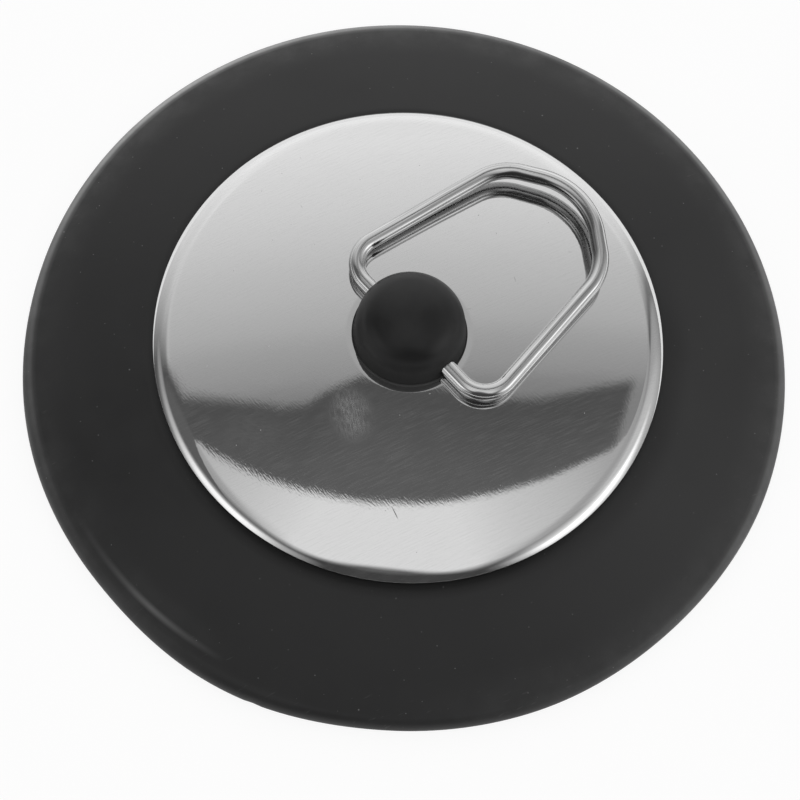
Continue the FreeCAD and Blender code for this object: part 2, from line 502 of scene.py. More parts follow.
    def wear_and_highlight_mask(self, sheet: NodeSheet, radius: Socket, turn: Socket, patch: Socket) -> Socket:
        """Writes the pale wear and painted highlight along the rim's rounding, and the painted highlight on
        its crease.

        Args:
            sheet: the rubber's sheet.
            radius: millimetres from the stopper's axis.
            turn: degrees round that axis.
            patch: soft random pattern.

        Returns:
            A mask of the wear and the painted highlights.
        """
        ring = sheet.product(
            sheet.levels(radius, self.wear_and_highlight_ring),
            sheet.levels(turn, self.wear_and_highlight_turns),
            sheet.step(patch, *self.wear_patch, self.wear_least, 1.0),
        )
        # Painted highlight on the crease.
        off = sheet.math("ABSOLUTE", sheet.math("SUBTRACT", radius, self.crease_radius))
        crease = sheet.step(off, 0.0, self.crease_width, 1.0, 0.0)
        return sheet.highest(ring, sheet.product(crease, sheet.levels(turn, self.crease_highlight_turns)))


@dataclass(frozen=True)
class KnobRubber:
    """Satin rubber of the knob, smooth from handling, with painted light towards its foot and on the front of
    its ledge.
    """

    deep: Colour = (0.0165, 0.0165, 0.0168)
    cloudy: Colour = (0.0230, 0.0230, 0.0233)
    cloud_size: float = 4.5
    # Painted light: towards its foot the knob is coloured lighter than its dome.
    foot: Colour = (0.030, 0.030, 0.030)
    foot_rise: Point = (14.6, 19.4)
    foot_roughness: float = 0.72
    # Painted light on the front of the foot's ledge.
    ledge_light: Colour = (0.085, 0.085, 0.085)
    ledge_rise: Point = (13.20, 13.32)
    ledge_side: Direction = (0.743, -0.669, 0.0)
    ledge_reach: Point = (3.0, 6.5)
    dust: Colour = (0.18, 0.18, 0.18)
    specks: Specks = Specks(2.6, 0.05, 0.6, flat=False)
    roughness: Point = (0.34, 0.42)
    specular: float = 0.27
    grain_size: float = 0.22
    grain_depth: float = 0.0035

    def material(self) -> Material:
        """Writes the rubber's nodes and returns the material."""
        material, sheet = new_material("knob_rubber")
        place = sheet.place()
        height = sheet.split(place)[2]
        cloud = sheet.noise(sheet.cells(self.cloud_size), Layers.CLOUDY)
        colour = sheet.blend(sheet.step(cloud, *CLOUD_EDGES), self.deep, self.cloudy)
        # Painted light: the colour eases to a lighter grey towards the foot, where the roughness also rises.
        rise = sheet.step(height, *self.foot_rise)
        colour = sheet.blend(rise, self.foot, colour)
        # Painted light on the ledge's front, the side towards the light.
        facing = sheet.step(sheet.reach(place, self.ledge_side), *self.ledge_reach)
        lit_ledge = sheet.product(facing, sheet.step(height, *self.ledge_rise, 1.0, 0.0))
        colour = sheet.blend(lit_ledge, colour, self.ledge_light)
        colour = sheet.blend(self.specks.mask(sheet), colour, self.dust)
        rough = sheet.step(cloud, *SHEEN_EDGES, *self.roughness)
        rough = sheet.blend_level(rise, self.foot_roughness, rough)
        normal = sheet.bump(sheet.noise(sheet.cells(self.grain_size), Layers.FINE), self.grain_depth)
        sheet.surface(Base_Color=colour, Roughness=rough, Specular_IOR_Level=self.specular, Normal=normal)
        return material


@dataclass(frozen=True)
class Hairline:
    """One fine scratch between two places of the cap, in millimetres."""

    start: Point
    end: Point
    width: float = 0.09
    strength: float = 1.0
    soft: float = 0.7

    def mask(self, sheet: NodeSheet) -> Socket:
        """Writes the scratch and returns its mask."""
        run = Vector(self.end) - Vector(self.start)
        middle = (Vector(self.end) + Vector(self.start)) / 2
        turn = math.degrees(math.atan2(run.y, run.x))
        along = sheet.place(turn, (run.length / 2, self.width, 0.0), (*middle, 0.0))
        return sheet.product(sheet.blob(along, self.soft), self.strength)


@dataclass(frozen=True)
class Smudge:
    """One wiped patch of the cap, in millimetres."""

    centre: Point
    size: Point
    turn: float
    haze: float
    blur: float
    soft: float = 0.75
    cloud: float = 2.4
    cloud_edges: Point = (0.2, 0.5)
    streak: Point = (1.3, 0.17)
    streak_edges: Point = (0.35, 0.6)
    streak_least: float = 0.2

    def mask(self, sheet: NodeSheet) -> Socket:
        """Writes the patch and returns its mask."""
        spot = sheet.place(self.turn, (*self.size, 0.0), (*self.centre, 0.0))
        cloud = sheet.noise(sheet.cells(self.cloud), Layers.FINE)
        streaks = sheet.noise(sheet.place(self.turn, (*self.streak, 0.0)), Layers.SCUFFED)
        streaks = sheet.step(streaks, *self.streak_edges, self.streak_least, 1.0)
        return sheet.product(sheet.blob(spot, self.soft), sheet.step(cloud, *self.cloud_edges), streaks)


@dataclass(frozen=True)
class CapSteel:
    """Stainless sheet, finely brushed one way and buffed almost to a mirror, with handling marks."""

    colour: Colour = (0.74, 0.74, 0.74)
    scratch: Colour = (0.22, 0.22, 0.22)
    scratch_blur: float = 0.3
    roughness: float = 0.022
    grain_turn: float = 74.0
    grain_size: Point = (4.0, 0.16)
    grain_depth: float = 0.0003
    grain_haze: float = 0.085
    haze_edges: Point = (0.42, 0.72)
    haze_from: Point = (9.2, 9.8)
    stroke_turn: float = -4.0
    stroke_size: Point = (0.8, 0.22)
    stroke_depth: float = 0.0013
    wave_size: float = 9.0
    wave_depth: float = 0.006
    specks: Specks = Specks(4.2, 0.032, 0.35)
    smudges: tuple[Smudge, ...] = (
        Smudge((3.9, -15.0), (5.6, 4.2), -28.0, 0.28, 0.05),
        Smudge((-3.6, -27.4), (7.0, 5.0), 40.0, 0.06, 0.02),
    )
    hairlines: tuple[Hairline, ...] = (
        Hairline((18.06, -19.93), (20.62, -20.66)),
        Hairline((3.24, 18.14), (4.28, 17.58), 0.07, 0.5),
        Hairline((2.60, 8.75), (3.25, 9.75), 0.08, 0.3),
        Hairline((5.38, 27.08), (6.07, 27.67), 0.07, 0.3),
        Hairline((-26.69, 1.98), (-25.87, 1.86), 0.07, 0.4),
    )

    def material(self) -> Material:
        """Writes the steel's nodes and returns the material."""
        material, sheet = new_material("cap_steel")
        grain = sheet.noise(sheet.place(self.grain_turn, (*self.grain_size, 0.0)), Layers.FINE)
        strokes = sheet.noise(sheet.place(self.stroke_turn, (*self.stroke_size, 0.0)), Layers.PLAIN)
        wave = sheet.noise(sheet.cells(self.wave_size), Layers.PLAIN)
        mark = sheet.highest(*(hairline.mask(sheet) for hairline in self.hairlines))

        radius = sheet.length(sheet.place(sizes=(1.0, 1.0, 0.0)))
        haze = sheet.product(sheet.step(grain, *self.haze_edges), self.grain_haze)
        haze = sheet.product(haze, sheet.step(radius, *self.haze_from))
        blur = sheet.product(mark, self.scratch_blur)
        for smudge in self.smudges:
            mask = smudge.mask(sheet)
            haze = sheet.highest(haze, sheet.product(mask, smudge.haze))
            blur = sheet.highest(blur, sheet.product(mask, smudge.blur))
        haze = sheet.highest(haze, self.specks.mask(sheet))
        metal = sheet.math("SUBTRACT", 1.0, haze, clamp=True)
        colour = sheet.blend(mark, self.colour, self.scratch)
        rough = sheet.math("ADD", blur, self.roughness)
        normal = sheet.bump(wave, self.wave_depth)
        normal = sheet.bump(strokes, self.stroke_depth, normal)
        normal = sheet.bump(grain, self.grain_depth, normal)
        sheet.surface(Base_Color=colour, Metallic=metal, Roughness=rough, Normal=normal)
        return material


@dataclass(frozen=True)
class WireSteel:
    """Bright drawn stainless wire, with draw lines along it, tool marks on its bends, and painted shade below
    it and inside the loop.
    """

    bright: Colour = (0.74, 0.74, 0.74)
    dull: Colour = (0.42, 0.42, 0.42)
    # Painted shade: darker colour below the wire and inside the loop near its crest.
    underside_shade: Colour = (0.34, 0.34, 0.34)
    shade_inside: Direction = (0.0, 0.93, -0.37)
    shade_from: Point = (0.0, 0.4)
    shade_reach: Point = (20.0, 27.0)
    shade_below: Point = (-0.7, -0.2)
    roughness: Point = (0.20, 0.11)
    line_length: float = 14.0
    line_width: float = 0.20
    line_depth: float = 0.0024
    nick: Colour = (0.22, 0.22, 0.22)
    nicks: Specks = Specks(0.55, 0.30, 0.30, flat=False)
    nick_bend: Point = (0.2, 0.9)
    nick_roughness: float = 0.25
    nick_depth: float = 0.006

    def material(self) -> Material:
        """Writes the wire's nodes and returns the material."""
        material, sheet = new_material("wire_steel")
        along = sheet.node("Attribute", attribute_name=PullBail.STRAIGHT).outputs["Vector"]
        bend = sheet.node("Attribute", attribute_name=PullBail.BEND).outputs["Fac"]
        drawn = sheet.place(sizes=(self.line_length, self.line_width, self.line_width), source=along)
        lines = sheet.noise(drawn, Layers.FINE)
        nicks = sheet.product(self.nicks.mask(sheet, along), sheet.step(bend, *self.nick_bend))
        colour = sheet.blend(sheet.step(lines, *CLOUD_EDGES), self.dull, self.bright)
        # Painted shade below the wire and inside the loop.
        colour = sheet.blend(self.shaded_side(sheet, along), colour, self.underside_shade)
        colour = sheet.blend(nicks, colour, self.nick)
        rough = sheet.step(lines, *CLOUD_EDGES, *self.roughness)
        rough = sheet.math("ADD", rough, sheet.product(nicks, self.nick_roughness))
        normal = sheet.bump(lines, self.line_depth)
        normal = sheet.bump(nicks, -self.nick_depth, normal)
        sheet.surface(Base_Color=colour, Metallic=1.0, Roughness=rough, Normal=normal)
        return material

    def shaded_side(self, sheet: NodeSheet, along: Socket) -> Socket:
        """Writes painted shade on the wire, below it and inside the loop near its crest.

        Args:
            sheet: the wire's sheet.
            along: place on the straight wire.

        Returns:
            A mask of the painted shade.
        """
        place = sheet.place(source=along)
        inside = sheet.step(sheet.reach(place, self.shade_inside), *self.shade_from)
        below = sheet.step(sheet.split(place)[2], *self.shade_below, 1.0, 0.0)
        crest = sheet.step(sheet.split(sheet.place())[1], *self.shade_reach)
        return sheet.highest(sheet.product(crest, inside), below)


def polar(centre: Point, radius: float, angle: float) -> Point:
    """Point of a section's arc, with the angle in radians from straight up towards the outside."""
    return centre[0] + radius * math.sin(angle), centre[1] + radius * math.cos(angle)


def arc(centre: Point, radius: float, start: float, end: float, steps: int) -> list[Point]:
    """Points of a section's arc.

    Args:
        centre: the arc's centre, as radius and height.
        radius: the arc's radius.
        start: first angle in radians, from straight up.
        end: last angle.
        steps: how many parts the arc has.

    Returns:
        The points, both ends among them.
    """
    return [polar(centre, radius, start + (end - start) * n / steps) for n in range(steps + 1)]


def bulged(start: Point, end: Point, bulge: float, steps: int) -> list[Point]:
    """Points of a shallow arc that stands off its chord, upwards.

    Args:
        start: first point.
        end: last point.
        bulge: height of the arc over its chord.
        steps: how many parts the arc has.

    Returns:
        The points, both ends among them.
    """
    run = Vector((end[0] - start[0], end[1] - start[1]))
    upright = Vector((-run.y, run.x)).normalized()
    if upright.y < 0:
        upright = -upright
    points = []
    for n in range(steps + 1):
        share = n / steps
        lift = bulge * 4 * share * (1 - share)
        r = start[0] + run.x * share + upright.x * lift
        z = start[1] + run.y * share + upright.y * lift
        points.append((r, z))
    return points


def rounded(before: Point, corner: Point, after: Point, radius: float, steps: int) -> list[Point]:
    """Rounds one corner of a section.

    Args:
        before: a point on the run that comes in.
        corner: the sharp corner.
        after: a point on the run that goes out.
        radius: radius of the rounding.
        steps: how many parts the rounding has.

    Returns:
        The points that take the corner's place.
    """
    back = (Vector(before) - Vector(corner)).normalized()
    ahead = (Vector(after) - Vector(corner)).normalized()
    half = back.angle(ahead) / 2
    middle = Vector(corner) + (back + ahead).normalized() * (radius / math.sin(half))
    first = Vector(corner) + back * (radius / math.tan(half)) - middle
    last = Vector(corner) + ahead * (radius / math.tan(half)) - middle
    turn = first.angle_signed(last)
    points = []
    for n in range(steps + 1):
        spoke = first.copy()
        spoke.rotate(Matrix.Rotation(-turn * n / steps, 2))
        points.append(tuple(middle + spoke))
    return points


def deselect() -> None:
    """Leaves edit mode and deselects everything."""
    if bpy.context.mode != "OBJECT":
        bpy.ops.object.mode_set(mode="OBJECT")
    bpy.ops.object.select_all(action="DESELECT")


def activate(piece: Piece) -> None:
    """Selects one piece alone."""
    deselect()
    piece.select_set(True)
    bpy.context.view_layer.objects.active = piece


def edit(piece: Piece) -> None:
    """Opens one piece alone in edit mode."""
    activate(piece)
    bpy.ops.object.mode_set(mode="EDIT")


def choose(piece: Piece, chosen: np.ndarray) -> None:
    """Opens one piece in edit mode with some of its vertices selected.

    Args:
        piece: the piece.
        chosen: a mask of its vertices.
    """
    edit(piece)
    bpy.ops.mesh.select_mode(type="VERT")
    bpy.ops.mesh.select_all(action="DESELECT")
    bpy.ops.object.mode_set(mode="OBJECT")
    piece.data.vertices.foreach_set("select", chosen)
    bpy.ops.object.mode_set(mode="EDIT")


def named(name: str) -> Piece:
    """Names the primitive that was just added, puts its place in its mesh and returns it."""
    piece = bpy.context.object
    piece.name = name
    piece.data.name = name
    bpy.ops.object.transform_apply(location=True, rotation=True, scale=True)
    return piece


def draw_section(name: str, points: Sequence[Point]) -> Piece:
    """Draws half a section on the XZ plane by extruding one vertex from point to point.

    Args:
        name: the piece's name.
        points: radius and height of each point.

    Returns:
        The piece, in edit mode.
    """
    deselect()
    first = points[0]
    bpy.ops.mesh.primitive_plane_add(size=MM, location=(first[0] * MM, 0.0, first[1] * MM))
    piece = named(name)
    edit(piece)
    bpy.ops.mesh.select_all(action="SELECT")
    bpy.ops.mesh.merge(type="CENTER")
    for start, end in zip(points, points[1:]):
        move = ((end[0] - start[0]) * MM, 0.0, (end[1] - start[1]) * MM)
        bpy.ops.mesh.extrude_vertices_move(TRANSFORM_OT_translate={"value": move})
    return piece


def close_mesh() -> None:
    """Merges doubles and turns all faces outwards, in edit mode."""
    bpy.ops.mesh.select_all(action="SELECT")
    bpy.ops.mesh.remove_doubles(threshold=WELD * MM)
    bpy.ops.mesh.normals_make_consistent(inside=False)


def spin_section(piece: Piece, steps: int) -> None:
    """Turns a drawn section round the stopper's axis into a closed skin.

    Args:
        piece: the piece in edit mode.
        steps: how many parts the turn has.
    """
    bpy.ops.mesh.select_all(action="SELECT")
    bpy.ops.mesh.spin(steps=steps, angle=math.tau, center=(0.0, 0.0, 0.0), axis=(0.0, 0.0, 1.0))
    close_mesh()
    bpy.ops.object.mode_set(mode="OBJECT")
    smooth(piece)


def smooth(piece: Piece, angle: float = 34.0) -> None:
    """Shades a piece smooth but for its sharp edges."""
    activate(piece)
    bpy.ops.object.shade_smooth_by_angle(angle=math.radians(angle))


def pull(piece: Piece, chosen: np.ndarray, move: Vector, reach: float) -> None:
    """Moves some vertices and lets their surroundings follow softly.

    Args:
        piece: the piece, in object mode.
        chosen: a mask of its vertices.
        move: the move in millimetres.
        reach: how far the surroundings follow, in millimetres.
    """
    choose(piece, chosen)
    bpy.ops.transform.translate(
        value=move * MM, use_proportional_edit=True, proportional_edit_falloff="SMOOTH",
        proportional_size=reach * MM,
    )
    bpy.ops.object.mode_set(mode="OBJECT")


def places(piece: Piece) -> np.ndarray:
    """The piece's vertices in millimetres, one row each."""
    found = np.empty(len(piece.data.vertices) * 3, np.float32)
    piece.data.vertices.foreach_get("co", found)
    return found.reshape(-1, 3) / MM


def round_places(piece: Piece) -> tuple[np.ndarray, np.ndarray, np.ndarray]:
    """Radius, angle in degrees and height of the piece's vertices about the stopper's axis."""
    x, y, z = places(piece).T
    return np.hypot(x, y), np.degrees(np.arctan2(y, x)), z


def outwards(angle: float) -> Vector:
    """Direction away from the stopper's axis, at an angle in degrees."""
    return Vector((math.cos(math.radians(angle)), math.sin(math.radians(angle)), 0.0))


def hand_over(piece: Piece, node: str, body: Body, material: Material) -> None:
    """Dresses a finished piece and puts it in the place of its CAD node.

    Args:
        piece: the finished piece.
        node: the CAD node that it stands for.
        body: the body that it moves with.
        material: its finish.
    """
    piece.data.materials.clear()
    piece.data.materials.append(material)
    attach(piece, body.value)
    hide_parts(node)
    faces = sum(len(face.vertices) - 2 for face in piece.data.polygons)
    LOG.info("%s stands for %s, %d triangles", piece.name, node, faces)


@dataclass
class CapForm:
    """Levels that skirt, cap and knob share, measured from the frame."""

    sheet: float = 0.5
    dome_radius: float = 300.0
    rim_radius: float = 4.0
    rim_turn: float = math.radians(50.0)
    edge_z: float = 9.3
    hub_length: float = 8.4

    def __post_init__(self) -> None:
        """Works out the dome from the cap's box."""
        low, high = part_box("steel_cap")
        self.radius = (high.x - low.x) / 2 / MM
        self.flat_z = high.z / MM
        inner = self.rim_radius - self.sheet
        self.rim_centre = (
            self.radius - self.rim_radius * math.sin(self.rim_turn),
            self.edge_z - inner * math.cos(self.rim_turn),
        )
        reach = self.dome_radius - self.rim_radius
        self.dome_centre = (0.0, self.rim_centre[1] - math.sqrt(reach ** 2 - self.rim_centre[0] ** 2))
        self.rim_start = math.asin(self.rim_centre[0] / reach)
        self.edge_r = self.rim_centre[0] + inner * math.sin(self.rim_turn)
        self.pad_z = self.flat_z - self.sheet
        self.hub_bottom = self.pad_z - self.hub_length
        self.pivot_z = frame["joints"][0]["pos_m"][2] / MM


@dataclass
class SealingDisc:
    """Moulded rubber skirt with its hub, foot and sealing ribs."""

    form: CapForm
    finish: SkirtRubber
    rim_height: float = 1.9
    rim_rounding: float = 2.1
    foot_rounding: float = 0.4
    foot_width: float = 2.4
    foot_depth: float = 0.5
    skirt_rise: float = 7.1
    skirt_bulge: float = 0.45
    skirt_thickness: float = 2.2
    seat_gap: float = 0.3
    seat_thickness: float = 3.0
    hub_radius: float = 9.5
    hub_fillet: float = 1.5
    hub_edge: float = 0.5
    pad_radius: float = 7.5
    hole_radius: float = 3.65
    rib_width: float = 1.2
    rib_depth: float = 1.2
    rib_lean: float = 0.4
    rib_room: float = 1.05
    rib_shares: tuple[float, ...] = (0.3, 0.62)
    gutter: Stops = ((36.0, 9.25), (36.7, 8.85), (37.4, 8.66), (38.1, 8.62), (38.7, 8.64))
    gutter_end: float = 39.15
    top_end: float = 0.9
    steps: int = 256
    seat_steps: int = 12
    top_steps: int = 64
    rim_steps: int = 10
    foot_steps: tuple[int, int] = (6, 3)
    under_steps: int = 48
    rib_steps: int = 8
    dome_steps: int = 14
    hub_steps: tuple[int, int] = (6, 5)
    crease_radius: float = 54.7
    crease_width: float = 0.25
    crease_angles: Point = (-93.0, -75.0)
    crease_floor: float = 0.8
    crease_lift: float = 0.30
    crease_reach: float = 3.2
    nicks: Stops = ((-86.4, 0.10), (-64.6, 0.10))
    nick_band: float = 0.2
    nick_angle: float = 0.5
    nick_reach: float = 1.3
    settles: tuple[tuple[float, float, float], ...] = (
        (-70.0, 0.64, 24.0), (2.0, -0.42, 26.0), (-118.0, 0.34, 30.0),
    )
    settle_angle: float = 1.5

    def section(self) -> list[Point]:
        """Points of the closed section, from the hole's top edge round and back to it."""
        form = self.form
        radius = (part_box("sealing_disc")[1].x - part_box("sealing_disc")[0].x) / 2 / MM
        seat = form.dome_radius - form.sheet - self.seat_gap
        under = seat - self.seat_thickness
        start = (form.edge_r, self.rim_height + self.skirt_rise)
        end = (radius, self.rim_height)
        foot_r = radius - self.foot_width
        slope = math.atan2(start[1] - end[1], end[0] - start[0])
        under_start = (start[0], start[1] - self.skirt_thickness / math.cos(slope))
        under_end = (foot_r, self.foot_depth)

        points = [(self.hole_radius, form.pad_z), (self.pad_radius, form.pad_z)]
        pad_angle = math.asin(self.pad_radius / seat)
        points += arc(form.dome_centre, seat, pad_angle, form.rim_start, self.seat_steps)
        points += self.gutter
        top = bulged(start, end, self.skirt_bulge, self.top_steps)
        top_end = radius - self.rim_rounding * self.top_end
        points += [point for point in top if self.gutter_end < point[0] < top_end]
        points += rounded(top[-2], end, (radius, 0.0), self.rim_rounding, self.rim_steps)
        outer_steps, inner_steps = self.foot_steps
        points += rounded(end, (radius, 0.0), (foot_r, 0.0), self.foot_rounding, outer_steps)
        points += rounded((radius, 0.0), (foot_r, 0.0), under_end, self.foot_rounding / 2, inner_steps)
        points += self.underside(under_end, under_start)
        under_angle = math.asin((form.rim_centre[0] - self.seat_thickness) / under)
        hub_angle = math.asin(self.hub_radius / under)
        dome = arc(form.dome_centre, under, under_angle, hub_angle, self.dome_steps)
        points += dome[:-1]
        hub_end = (self.hub_radius, form.hub_bottom)
        fillet_steps, edge_steps = self.hub_steps
        points += rounded(dome[-2], dome[-1], hub_end, self.hub_fillet, fillet_steps)
        points += rounded(dome[-1], hub_end, (self.hole_radius, form.hub_bottom), self.hub_edge, edge_steps)
        points += [(self.hole_radius, form.hub_bottom), points[0]]
        return points

    def underside(self, outer: Point, inner: Point) -> list[Point]:
        """Points under the skirt from the foot inwards, round the sealing ribs.

        Args:
            outer: where the underside leaves the foot.
            inner: where it ends under the cap's edge.

        Returns:
            The points.
        """
        nose = self.rib_width / 2
        ribs = [inner[0] + (outer[0] - inner[0]) * share for share in self.rib_shares]
        points: list[Point] = []
        waiting = sorted(ribs, reverse=True)
        for r, z in bulged(outer, inner, self.skirt_bulge, self.under_steps):
            if waiting and r < waiting[0] + nose:
                rib = waiting.pop(0)
                tip = (rib, z - self.rib_depth + nose)
                points.append((rib + nose, z))
                points += arc(tip, nose, math.pi / 2, math.pi * 1.5, self.rib_steps)
                points.append((rib - nose, z + nose * self.rib_lean))
            if not any(abs(r - rib) <= nose * self.rib_room for rib in ribs):
                points.append((r, z))
        return points

    def build(self) -> Piece:
        """Models the skirt with the crease and nicks of a used one, and returns it."""
        piece = draw_section("rubber_skirt", self.section())
        spin_section(piece, self.steps)
        self.settle(piece)
        self.press_crease(piece)
        self.cut_nicks(piece)
        hand_over(piece, "sealing_disc", Body.STOPPER, self.finish.material())
        return piece

    def settle(self, piece: Piece) -> None:
        """Pulls the soft skirt a little out of round, as it has settled on the table."""
        for at, move, reach in self.settles:
            radius, angle, _ = round_places(piece)
            rim = (radius > radius.max() - self.foot_width) & (abs(angle - at) < self.settle_angle)
            pull(piece, rim, outwards(at) * move, reach)

    def press_crease(self, piece: Piece) -> None:
        """Raises the soft crease along the rim where the rubber has been bent."""
        radius, angle, height = round_places(piece)
        low, high = self.crease_angles
        on_top = height > self.rim_height * self.crease_floor
        near = abs(radius - self.crease_radius) < self.crease_width
        chosen = near & (angle > low) & (angle < high) & on_top
        pull(piece, chosen, Vector((0.0, 0.0, self.crease_lift)), self.crease_reach)

    def cut_nicks(self, piece: Piece) -> None:
        """Presses small nicks into the rim's edge."""
        for at, depth in self.nicks:
            radius, angle, height = round_places(piece)
            edge = (radius > radius.max() - self.nick_band) & (abs(angle - at) < self.nick_angle)
            pull(piece, edge & (height < self.rim_height), outwards(at) * -depth, self.nick_reach)


@dataclass
class SteelCap:
    """Pressed steel cap: flat seat, shallow dome and turned-down rim."""

    form: CapForm
    finish: CapSteel
    hole_radius: float = 3.9
    seat_radius: float = 9.55
    seat_soft: float = 0.12
    lip_turn: float = math.radians(40.0)
    edge_rounding: float = 0.03
    steps: int = 256
    dome_steps: tuple[int, int] = (40, 16)
    rim_steps: tuple[int, int] = (24, 12)
    edge_steps: int = 4

    def section(self) -> list[Point]:
        """Points of the closed section, from the hole's top edge round and back to it."""
        form = self.form
        inner_dome = form.dome_radius - form.sheet
        inner_rim = form.rim_radius - form.sheet
        inner_seat, outer_seat = (
            math.asin((self.seat_radius + side.value * self.seat_soft) / form.dome_radius) for side in Side
        )
        seat = polar(form.dome_centre, form.dome_radius, inner_seat)
        points = [(self.hole_radius, seat[1]), (seat[0] - self.seat_soft, seat[1]), seat]
        outer_steps, inner_steps = self.dome_steps
        points += arc(form.dome_centre, form.dome_radius, outer_seat, form.rim_start, outer_steps)
        points += arc(form.rim_centre, form.rim_radius, form.rim_start, self.lip_turn, self.rim_steps[0])[1:]
        lip = (form.radius - points[-1][0]) / math.cos(self.lip_turn)
        inner_arc = arc(form.rim_centre, inner_rim, self.lip_turn, form.rim_start, self.rim_steps[1])
        outer = polar(points[-1], lip, math.pi / 2 + self.lip_turn)
        inner = polar(inner_arc[0], lip, math.pi / 2 + self.lip_turn)
        points += rounded(points[-1], outer, inner, self.edge_rounding, self.edge_steps)
        points += rounded(outer, inner, inner_arc[0], self.edge_rounding, self.edge_steps)
        points += inner_arc
        flat_angle = math.acos((form.pad_z - form.dome_centre[1]) / inner_dome)
        points += arc(form.dome_centre, inner_dome, form.rim_start, flat_angle, inner_steps)[1:]
        points += [(self.hole_radius, form.pad_z), points[0]]
        return points

    def build(self) -> Piece:
        """Models the cap and returns it."""
        piece = draw_section("domed_cap", self.section())
        spin_section(piece, self.steps)
        hand_over(piece, "steel_cap", Body.STOPPER, self.finish.material())
        return piece


@dataclass
class GripKnob:
    """Domed rubber knob with its stem, head and cross hole."""

    form: CapForm
    finish: KnobRubber
    foot_radius: float = 8.6
    foot_height: float = 0.3
    foot_rounding: float = 0.12
    base_radius: float = 8.4
    top_radius: float = 8.1
    wall_height: float = 3.55
    shoulder_radius: float = 4.9
    stem_radius: float = 3.6
    head_radius: float = 6.0
    head_land: float = 0.9
    head_rounding: float = 0.2
    nose_radius: float = 3.5
    hole_radius: float = 1.30
    lip_radius: float = 1.45
    lip_depth: float = 0.25
    lip_run: float = 0.15
    drill_past: float = 1.0
    drill_around: int = 48
    steps: int = 256
    crown_steps: int = 16
    shoulder_steps: int = 24
    wall_steps: int = 6
    foot_steps: int = 5
    head_steps: int = 3
    nose_steps: int = 4

    def section(self) -> list[Point]:
        """Points of the section from the crown's top down the outside to the head's middle."""
        form = self.form
        low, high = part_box("grip_knob")
        apex, nose = high.z / MM, low.z / MM
        base = form.flat_z
        foot_top = base + self.foot_height
        wall_top = base + self.wall_height
        taper = math.atan2(self.base_radius - self.top_radius, wall_top - foot_top)
        shoulder = (
            self.top_radius - self.shoulder_radius * math.cos(taper),
            wall_top - self.shoulder_radius * math.sin(taper),
        )
        crest = apex - self.shoulder_radius
        centre_z = (crest ** 2 - shoulder[0] ** 2 - shoulder[1] ** 2) / (2 * (crest - shoulder[1]))
        meet = math.atan2(shoulder[0], shoulder[1] - centre_z)
        points = arc((0.0, centre_z), apex - centre_z, 0.0, meet, self.crown_steps)
        points += arc(shoulder, self.shoulder_radius, meet, math.pi / 2 - taper, self.shoulder_steps)[1:]
        waist = (self.base_radius, foot_top)
        for n in range(1, self.wall_steps):
            share = n / self.wall_steps
            points.append((self.top_radius + (self.base_radius - self.top_radius) * share,
                           wall_top + (foot_top - wall_top) * share))
        foot = (self.foot_radius, foot_top)
        points.append(waist)
        points += rounded(waist, foot, (self.foot_radius, base), self.foot_rounding, self.foot_steps)
        points += [(self.foot_radius, base), (self.stem_radius, base), (self.stem_radius, form.hub_bottom)]
        shelf = (self.head_radius, form.hub_bottom)
        land = (self.head_radius, form.hub_bottom - self.head_land)
        tip = (self.nose_radius, nose)
        points += rounded(points[-1], shelf, land, self.head_rounding, self.head_steps)
        points += rounded(shelf, land, tip, self.head_rounding, self.head_steps)
        points += rounded(land, tip, (0.0, nose), self.head_rounding * 2, self.nose_steps)
        points.append((0.0, nose))
        return points

    def build(self) -> Piece:
        """Models the knob, bores it for the wire, and returns it."""
        piece = draw_section("rubber_knob", self.section())
        spin_section(piece, self.steps)
        self.bore(piece)
        smooth(piece)
        hand_over(piece, "grip_knob", Body.STOPPER, self.finish.material())
        return piece

    def bore(self, piece: Piece) -> None:
        """Cuts the cross hole, a little flared where the wire comes out."""
        deselect()
        height = self.form.pivot_z * MM
        bpy.ops.mesh.primitive_circle_add(
            vertices=self.drill_around, radius=self.hole_radius * MM, fill_type="NOTHING",
            location=(0.0, 0.0, height), rotation=(0.0, math.pi / 2, 0.0),
        )
        drill = named("knob_drill")
        stations = (
            (self.base_radius - self.lip_depth - self.lip_run, 1.0),
            (self.base_radius + self.lip_run, self.lip_radius / self.hole_radius),
            (self.foot_radius + self.drill_past, 1.0),
        )
        for side in Side:
            deselect()
            choose(drill, np.arange(len(drill.data.vertices)) < self.drill_around)
            before = 0.0
            for at, grow in stations:
                bpy.ops.mesh.extrude_edges_move(
                    TRANSFORM_OT_translate={"value": ((at - before) * side.value * MM, 0.0, 0.0)}
                )
                bpy.ops.transform.resize(
                    value=(1.0, grow, grow), center_override=(at * side.value * MM, 0.0, height)
                )
                before = at
            bpy.ops.mesh.edge_face_add()
        close_mesh()
        activate(piece)
        bpy.ops.object.modifier_add(type="BOOLEAN")
        cut = piece.modifiers[-1]
        cut.operation = "DIFFERENCE"
        cut.solver = "EXACT"
        cut.object = drill
        bpy.ops.object.modifier_apply(modifier=cut.name)
        bpy.data.objects.remove(drill)


@dataclass
class Stretch:
    """One straight run or bend of the wire, in the bail's own plane."""

    start: Vector
    end: Vector
    length: float
    turn: float = 0.0
    centre: Optional[Vector] = None


